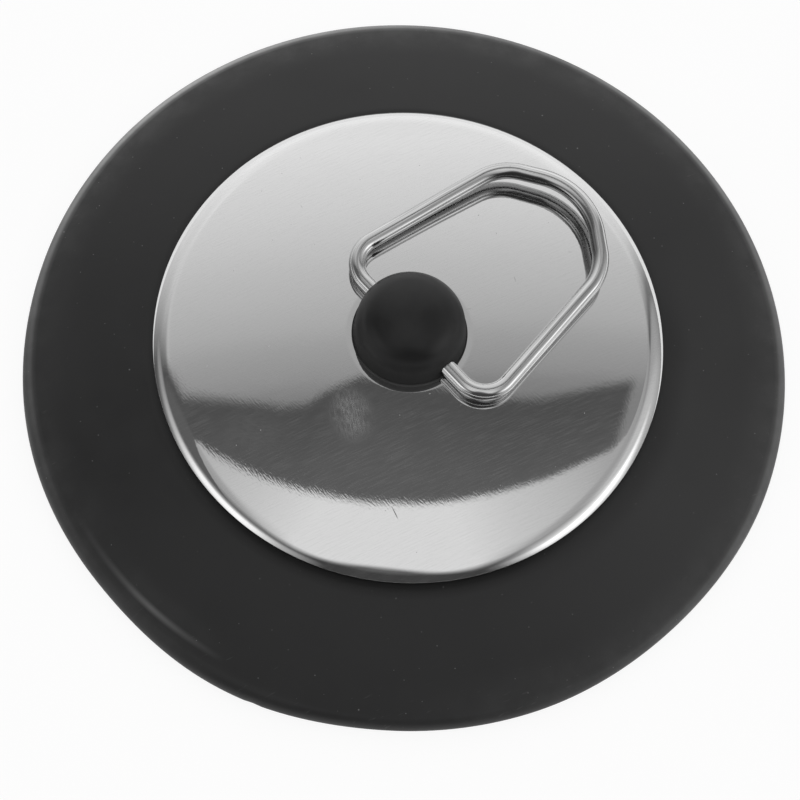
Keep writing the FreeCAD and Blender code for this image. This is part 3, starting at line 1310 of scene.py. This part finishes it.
@dataclass
class PullBail:
    """Folding bail, bent from one wire."""

    STRAIGHT = "straight_wire"
    BEND = "wire_bend"

    form: CapForm
    finish: WireSteel
    wire_radius: float = 1.25
    width: float = 31.8
    shoulder_width: float = 23.0
    shoulder_reach: float = 27.9
    reach: float = 35.7
    heel_radius: float = 4.4
    shoulder_radius: float = 8.0
    crest_radius: float = 11.0
    stub_gap: float = 4.0
    stub_chamfer: float = 0.3
    side_slip: float = 0.7
    droop: float = 0.3
    around: int = 40
    bend_steps: int = 20
    run_samples: int = 60

    def stretches(self) -> list[Stretch]:
        """Runs and bends of the wire in turn, from the right stub round to the left one."""
        half = [
            Vector((self.stub_gap / 2, 0.0)),
            Vector((self.width / 2, 0.0)),
            Vector((self.shoulder_width / 2, self.shoulder_reach)),
        ]
        corners = half + [Vector((0.0, self.reach))] + [Vector((-p.x, p.y)) for p in reversed(half)]
        side_radii = [self.heel_radius, self.shoulder_radius]
        radii = [*side_radii, self.crest_radius, *reversed(side_radii)]
        found: list[Stretch] = []
        start = corners[0]
        for before, corner, after, radius in zip(corners, corners[1:], corners[2:], radii):
            back = (before - corner).normalized()
            ahead = (after - corner).normalized()
            half_angle = back.angle(ahead) / 2
            trim = radius / math.tan(half_angle)
            bend_start, bend_end = corner + back * trim, corner + ahead * trim
            centre = corner + (back + ahead).normalized() * (radius / math.sin(half_angle))
            turn = math.pi - 2 * half_angle
            found.append(Stretch(start, bend_start, (bend_start - start).length))
            found.append(Stretch(bend_start, bend_end, radius * turn, turn, centre))
            start = bend_end
        found.append(Stretch(start, corners[-1], (corners[-1] - start).length))
        return found

    def build(self) -> Piece:
        """Bends the wire, lays it in the knob and returns it."""
        deselect()
        end_radius = self.wire_radius - self.stub_chamfer
        bpy.ops.mesh.primitive_circle_add(
            vertices=self.around, radius=end_radius * MM, fill_type="NOTHING",
            location=(self.stub_gap / 2 * MM, 0.0, 0.0), rotation=(0.0, math.pi / 2, 0.0),
        )
        piece = named("wire_bail")
        edit(piece)
        bpy.ops.mesh.select_all(action="SELECT")
        runs = self.stretches()
        self.chamfer(runs[0].start, Vector((1.0, 0.0)), self.wire_radius / end_radius)
        runs[0].start = runs[0].start + Vector((self.stub_chamfer, 0.0))
        runs[-1].end = runs[-1].end - Vector((self.stub_chamfer, 0.0))
        for run in runs:
            self.lay(run)
        self.chamfer(runs[-1].end, Vector((1.0, 0.0)), end_radius / self.wire_radius)
        bpy.ops.mesh.select_all(action="DESELECT")
        bpy.ops.mesh.select_mode(type="EDGE")
        bpy.ops.mesh.select_non_manifold()
        bpy.ops.mesh.edge_face_add()
        close_mesh()
        bpy.ops.object.mode_set(mode="OBJECT")
        self.note_wire(piece)
        self.lay_in_knob(piece)
        smooth(piece)
        hand_over(piece, "pull_bail", Body.BAIL, self.finish.material())
        return piece

    def chamfer(self, at: Vector, ahead: Vector, grow: float) -> None:
        """Adds the short cone at a stub's end.

        Args:
            at: where the cone starts.
            ahead: direction along the wire.
            grow: how much wider its far end is.
        """
        move = ahead * self.stub_chamfer * MM
        bpy.ops.mesh.extrude_edges_move(TRANSFORM_OT_translate={"value": (*move, 0.0)})
        centre = (at + ahead * self.stub_chamfer) * MM
        bpy.ops.transform.resize(value=(1.0, grow, grow), center_override=(*centre, 0.0))

    def lay(self, run: Stretch) -> None:
        """Extrudes the wire's end along a straight run or spins it round a bend."""
        if run.centre is None:
            move = (run.end - run.start) * MM
            bpy.ops.mesh.extrude_edges_move(TRANSFORM_OT_translate={"value": (*move, 0.0)})
        else:
            bpy.ops.mesh.spin(
                steps=self.bend_steps, angle=-run.turn, center=(*(run.centre * MM), 0.0), axis=(0.0, 0.0, 1.0)
            )

    def note_wire(self, piece: Piece) -> None:
        """Writes where each vertex lies on the straight wire, and how far it is in a bend."""
        line, mark, tangent = self.samples()
        where = places(piece)
        gaps = np.linalg.norm(where[:, None, :2] - line[None], axis=2)
        near = gaps.argmin(1)
        offset = where[:, :2] - line[near]
        across = tangent[near, 0] * offset[:, 1] - tangent[near, 1] * offset[:, 0]
        straight = np.stack([mark[near, 0], across, where[:, 2]], 1).astype(np.float32) * MM
        bend = mark[near, 1].astype(np.float32)
        attributes = piece.data.attributes
        attributes.new(self.STRAIGHT, "FLOAT_VECTOR", "POINT").data.foreach_set("vector", straight.ravel())
        attributes.new(self.BEND, "FLOAT", "POINT").data.foreach_set("value", bend)

    def samples(self) -> tuple[np.ndarray, np.ndarray, np.ndarray]:
        """Points closely along the wire's middle.

        Returns:
            The points, their length along the wire with the share of bend at each, and the directions there.
        """
        line, mark, tangent = [], [], []
        done = 0.0
        for run in self.stretches():
            for n in range(self.run_samples):
                share = n / self.run_samples
                if run.centre is None:
                    bend = 0.0
                    point = run.start.lerp(run.end, share)
                    ahead = (run.end - run.start).normalized()
                else:
                    bend = math.sin(math.pi * share)
                    spoke = run.start - run.centre
                    spoke.rotate(Matrix.Rotation(run.turn * share, 2))
                    point = run.centre + spoke
                    ahead = Vector((-spoke.y, spoke.x)).normalized()
                line.append(point)
                mark.append((done + run.length * share, bend))
                tangent.append(ahead)
            done += run.length
        return np.array(line), np.array(mark), np.array(tangent)

    def lay_in_knob(self, piece: Piece) -> None:
        """Tips the bail down onto its rest and moves its pivot into the knob's hole."""
        activate(piece)
        piece.rotation_euler = (-math.radians(self.droop), 0.0, 0.0)
        piece.location = (self.side_slip * MM, 0.0, self.form.pivot_z * MM)
        bpy.ops.object.transform_apply(location=True, rotation=True, scale=True)


@dataclass(frozen=True)
class PhotoCamera:
    """Camera at the photograph's angle, with its distance and lens worked out from the part's circles."""

    azimuth: float = 42.2
    elevation: float = 67.95
    roll: float = 6.171
    distance: float = 550.0
    shift: Point = (-0.89, -5.08)
    focal_pixels: float = 3634.9
    image_pixels: float = 800.0
    sensor: float = 36.0
    clip: Point = (0.01, 50.0)

    def axes(self) -> tuple[Vector, Vector, Vector]:
        """Directions to the picture's right, to its top and back to the camera."""
        turn, rise, roll = (math.radians(a) for a in (self.azimuth, self.elevation, self.roll))
        back = Vector((math.sin(turn) * math.cos(rise), -math.cos(turn) * math.cos(rise), math.sin(rise)))
        level = Vector((math.cos(turn), math.sin(turn), 0.0))
        upright = back.cross(level)
        right = level * math.cos(roll) + upright * math.sin(roll)
        return right, upright * math.cos(roll) - level * math.sin(roll), back

    def build(self) -> Piece:
        """Adds the camera, makes it the scene's and returns it."""
        right, top, back = self.axes()
        eye = (back * self.distance + right * self.shift[0] + top * self.shift[1]) * MM
        data = bpy.data.cameras.new("photo_camera")
        data.sensor_width = self.sensor
        data.lens = self.focal_pixels * self.sensor / self.image_pixels
        data.clip_start, data.clip_end = self.clip
        camera = bpy.data.objects.new("photo_camera", data)
        camera.matrix_world = Matrix.Translation(eye) @ Matrix((right, top, back)).transposed().to_4x4()
        bpy.context.scene.collection.objects.link(camera)
        bpy.context.scene.camera = camera
        return camera


@dataclass(frozen=True)
class Sky:
    """Where a ray leaves to, on the world's sheet.

    Places overhead are read on a flat ceiling: across to the viewer's right and fore towards the viewer, both
    in heights of that ceiling. Turn is the azimuth from the viewer's side, to the right, and rise is the
    elevation, both in degrees.
    """

    sheet: NodeSheet
    across: Socket
    fore: Socket
    turn: Socket
    rise: Socket


@dataclass(frozen=True)
class Panel:
    """Soft panel of light that stands round the object, by azimuth from the viewer and by elevation."""

    level: float
    turns: Stops
    rises: Stops

    def shine(self, sky: Sky) -> Socket:
        """Writes the panel's light and returns it."""
        shape = (sky.sheet.levels(sky.turn, self.turns), sky.sheet.levels(sky.rise, self.rises))
        return sky.sheet.product(*shape, self.level)


@dataclass(frozen=True)
class LightTent:
    """Light round the object: a pale back wall, a soft box overhead, side panels and a dark camera card."""

    view_turn: float = PhotoCamera.azimuth
    horizon: float = 0.05
    wall: Stops = (
        (-2.6, 1.08), (-1.3, 1.00), (-0.80, 0.96), (-0.72, 0.87), (-0.66, 0.81), (-0.60, 0.735),
        (-0.55, 0.66), (-0.50, 0.60), (-0.45, 0.525), (-0.42, 0.45), (-0.40, 0.415), (-0.38, 0.385),
        (-0.365, 0.355), (-0.35, 0.30), (-0.33, 0.27),
    )
    wall_lean: float = 0.20
    wall_rises: Point = (48.0, 60.0)
    wall_turns: Stops = (
        (-152, 1.0), (-142, 0.86), (-131, 0.76), (-120, 0.55), (-109, 0.28), (-100, 0.10), (100, 0.15),
        (126, 0.18), (133, 0.22), (137, 0.46), (144, 0.75), (150, 0.86), (160, 1.0),
    )
    ceiling: Stops = (
        (0.0, 0.90), (0.16, 0.89), (0.24, 0.73), (0.32, 0.62), (0.40, 0.48), (0.52, 0.43), (0.9, 0.40),
        (1.3, 0.28),
    )
    ceiling_flare: float = 0.45
    ceiling_rises: Stops = ((24.0, 0.08), (35.0, 0.20), (46.0, 0.62), (55.0, 1.0))
    front_level: float = 0.06
    viewer_width: Point = (15.0, 0.45)
    viewer_height: float = 60.0
    viewer_soft: float = 9.0
    viewer_rises: Stops = ((58.0, 0.85), (66.0, 0.6), (73.0, 0.25), (79.0, 0.0))
    card_level: Point = (0.092, 0.128)
    card_depth: float = 0.15
    card_back: Stops = (
        (-0.60, 0.316), (-0.45, 0.320), (-0.33, 0.328), (-0.30, 0.330), (-0.28, 0.313), (-0.22, 0.307),
        (-0.15, 0.301), (-0.12, 0.307), (-0.095, 0.328), (-0.054, 0.354), (0.0, 0.356), (0.06, 0.348),
        (0.124, 0.345), (0.176, 0.356), (0.23, 0.379), (0.30, 0.413),
    )
    card_back_soft: Stops = ((-0.6, 0.05), (-0.3, 0.03), (-0.27, 0.012), (-0.2, 0.010))
    card_front: float = -0.1785
    card_front_soft: float = 0.005
    card_front_end: float = -0.55
    card_middle: float = -0.03
    card_bow: float = 1.33
    card_right: Point = (0.211, 0.222)
    card_right_lean: float = 0.205
    flag_corner: Point = (-0.24, -0.25)
    flag_run: Point = (-0.45, 0.9)
    panels: tuple[Panel, ...] = (
        Panel(
            1.9,
            ((30, 0.0), (37, 0.10), (46, 0.40), (53, 0.75), (66, 1.0), (82, 1.0), (95, 0.60), (108, 0.28),
             (118, 0.1), (128, 0.0)),
            ((-6, 0.15), (4, 0.3), (10, 0.45), (17, 0.8), (20, 1.0), (26, 1.0), (31, 0.6), (36, 0.46),
             (41, 0.36), (46, 0.28), (52, 0.2), (60, 0.0)),
        ),
        Panel(
            0.66,
            ((60, 0.0), (82, 1.0), (104, 1.0), (113, 0.88), (119, 0.70), (128, 0.60), (134, 0.0)),
            ((-6, 0.3), (4, 0.75), (20, 0.95), (30, 1.0), (45, 1.0), (51, 0.78), (57, 0.68), (64, 0.62),
             (72, 0.0)),
        ),
        Panel(
            1.4,
            ((-118, 0.0), (-108, 0.2), (-95, 0.28), (-82, 0.46), (-67, 0.9), (-50, 1.0), (-44, 0.85),
             (-34, 0.4), (-17, 0.0)),
            ((-6, 0.05), (5, 0.2), (11, 0.5), (16, 0.9), (20, 1.0), (26, 0.95), (30, 0.6), (34, 0.3),
             (39, 0.16), (45, 0.0)),
        ),
    )

    def build(self) -> bpy.types.World:
        """Writes the world, white to the camera and the tent to all else, and returns it."""
        world = bpy.data.worlds.new("light_tent")
        bpy.context.scene.world = world
        world.use_nodes = True
        sheet = NodeSheet(world.node_tree)
        seen_from = sheet.turned(sheet.node("TexCoord").outputs["Generated"], self.view_turn)
        right, away, up = sheet.split(seen_from)
        near = sheet.product(away, -1.0)
        turn = sheet.math("DEGREES", sheet.math("ARCTAN2", right, near))
        rise = sheet.math("DEGREES", sheet.math("ARCSINE", up))
        height = sheet.highest(up, self.horizon)
        across = sheet.math("DIVIDE", right, height)
        fore = sheet.math("DIVIDE", near, height)

        sky = Sky(sheet, across, fore, turn, rise)
        light = sheet.highest(self.overhead(sky), *(panel.shine(sky) for panel in self.panels))
        shown = sheet.blend_level(sheet.node("LightPath").outputs["Is Camera Ray"], light, 1.0)
        background = sheet.shader("Background", Color=(1.0, 1.0, 1.0, 1.0), Strength=shown)
        sheet.end("OutputWorld", background)
        return world

    def overhead(self, sky: Sky) -> Socket:
        """Writes the back wall, the card and the soft box in front of it.

        Args:
            sky: where a ray leaves to.

        Returns:
            The light from there.
        """
        sheet = sky.sheet
        leaning = sheet.math("MULTIPLY_ADD", sky.across, self.wall_lean, sky.fore)
        sides = sheet.levels(sky.turn, self.wall_turns)
        reach = sheet.blend_level(sheet.step(sky.rise, *self.wall_rises), sides, 1.0)
        wall = sheet.product(sheet.levels(leaning, self.wall), reach)
        ahead = sheet.math("ADD", sky.fore, sheet.levels(sky.across, self.card_back))
        soft = sheet.levels(sky.across, self.card_back_soft)
        card = sheet.step(sheet.math("DIVIDE", ahead, soft), -1.0, 1.0)
        end = sheet.math("MULTIPLY_ADD", sky.fore, self.card_right_lean, sky.across)
        card = sheet.product(card, sheet.step(end, *self.card_right, 1.0, 0.0))
        grey = sheet.step(ahead, 0.0, self.card_depth, *self.card_level)
        back = sheet.blend_level(card, wall, grey)

        edge = sheet.highest(self.card_edge(sky), self.card_front_end)
        past = sheet.math("SUBTRACT", sky.fore, edge)
        in_front = sheet.step(past, -self.card_front_soft, self.card_front_soft)
        return sheet.blend_level(in_front, back, self.soft_box(sky))

    def card_edge(self, sky: Sky) -> Socket:
        """Writes the card's front edge: a bow in the middle that runs out along a flag on the left.

        Args:
            sky: where a ray leaves to.

        Returns:
            How far fore the edge lies.
        """
        sheet = sky.sheet
        off = sheet.math("SUBTRACT", sky.across, self.card_middle)
        bow = sheet.math("MULTIPLY_ADD", sheet.product(off, off), -self.card_bow, self.card_front)
        past = sheet.math("SUBTRACT", sky.across, self.flag_corner[0])
        beyond = sheet.math("MINIMUM", past, 0.0)
        slope = sheet.math("MULTIPLY_ADD", beyond, self.flag_run[1], self.flag_run[0])
        flag = sheet.math("MULTIPLY_ADD", past, slope, self.flag_corner[1])
        return sheet.highest(bow, flag)

    def soft_box(self, sky: Sky) -> Socket:
        """Writes the soft box overhead, darkened in front by the viewer.

        Args:
            sky: where a ray leaves to.

        Returns:
            The light from there.
        """
        sheet = sky.sheet
        wide = sheet.math("MULTIPLY_ADD", sky.fore, -self.ceiling_flare, sheet.math("ABSOLUTE", sky.across))
        box = sheet.product(sheet.levels(wide, self.ceiling), sheet.levels(sky.rise, self.ceiling_rises))
        start, grow = self.viewer_width
        half = sheet.math("MULTIPLY_ADD", sheet.math("SUBTRACT", self.viewer_height, sky.rise), grow, start)
        off = sheet.math("SUBTRACT", sheet.math("ABSOLUTE", sky.turn), half)
        viewer = sheet.step(off, -self.viewer_soft, self.viewer_soft, 1.0, 0.0)
        viewer = sheet.product(viewer, sheet.levels(sky.rise, self.viewer_rises))
        return sheet.highest(sheet.product(box, sheet.math("SUBTRACT", 1.0, viewer)), self.front_level)


@dataclass(frozen=True)
class Studio:
    """Pale floor in a soft light tent."""

    tent: LightTent = LightTent()
    floor_size: float = 6.0
    floor_drop: float = 0.02
    floor_colour: Colour = (0.86, 0.86, 0.86)
    floor_white: float = 0.88
    floor_shade: float = 0.17

    def build(self) -> None:
        """Sets up floor, light and view."""
        self.floor()
        self.tent.build()
        bpy.context.scene.view_settings.view_transform = "Standard"

    def floor(self) -> Piece:
        """Adds the floor, which shows white with the object's soft shadow, and returns it."""
        deselect()
        bpy.ops.mesh.primitive_plane_add(size=self.floor_size, location=(0.0, 0.0, -self.floor_drop * MM))
        floor = named("studio_floor")
        material, sheet = new_material("studio_floor")
        path = sheet.node("LightPath").outputs
        seen = sheet.highest(path["Is Camera Ray"], path["Is Glossy Ray"], path["Is Transmission Ray"])
        plain = sheet.shader("BsdfDiffuse", Color=(*self.floor_colour, 1.0))
        shade = sheet.shader("BsdfDiffuse", Color=(*[self.floor_shade] * 3, 1.0))
        white = sheet.shader("Emission", Strength=self.floor_white)
        shown = sheet.fill(sheet.node("AddShader"), shade, white)
        sheet.end("OutputMaterial", sheet.fill(sheet.node("MixShader"), seen, plain, shown))
        floor.data.materials.append(material)
        return floor


def main() -> None:
    """Builds every sub-assembly, the studio and the camera."""
    logging.basicConfig(level=logging.INFO, format="%(name)s: %(message)s")
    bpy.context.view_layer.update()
    form = CapForm()
    pieces = (
        SealingDisc(form, SkirtRubber()),
        SteelCap(form, CapSteel()),
        GripKnob(form, KnobRubber()),
        PullBail(form, WireSteel()),
    )
    for piece in pieces:
        LOG.info("%s is %s", type(piece).__name__, piece.build().name)
    Studio().build()
    PhotoCamera().build()
    deselect()


if __name__ == "__main__":
    main()
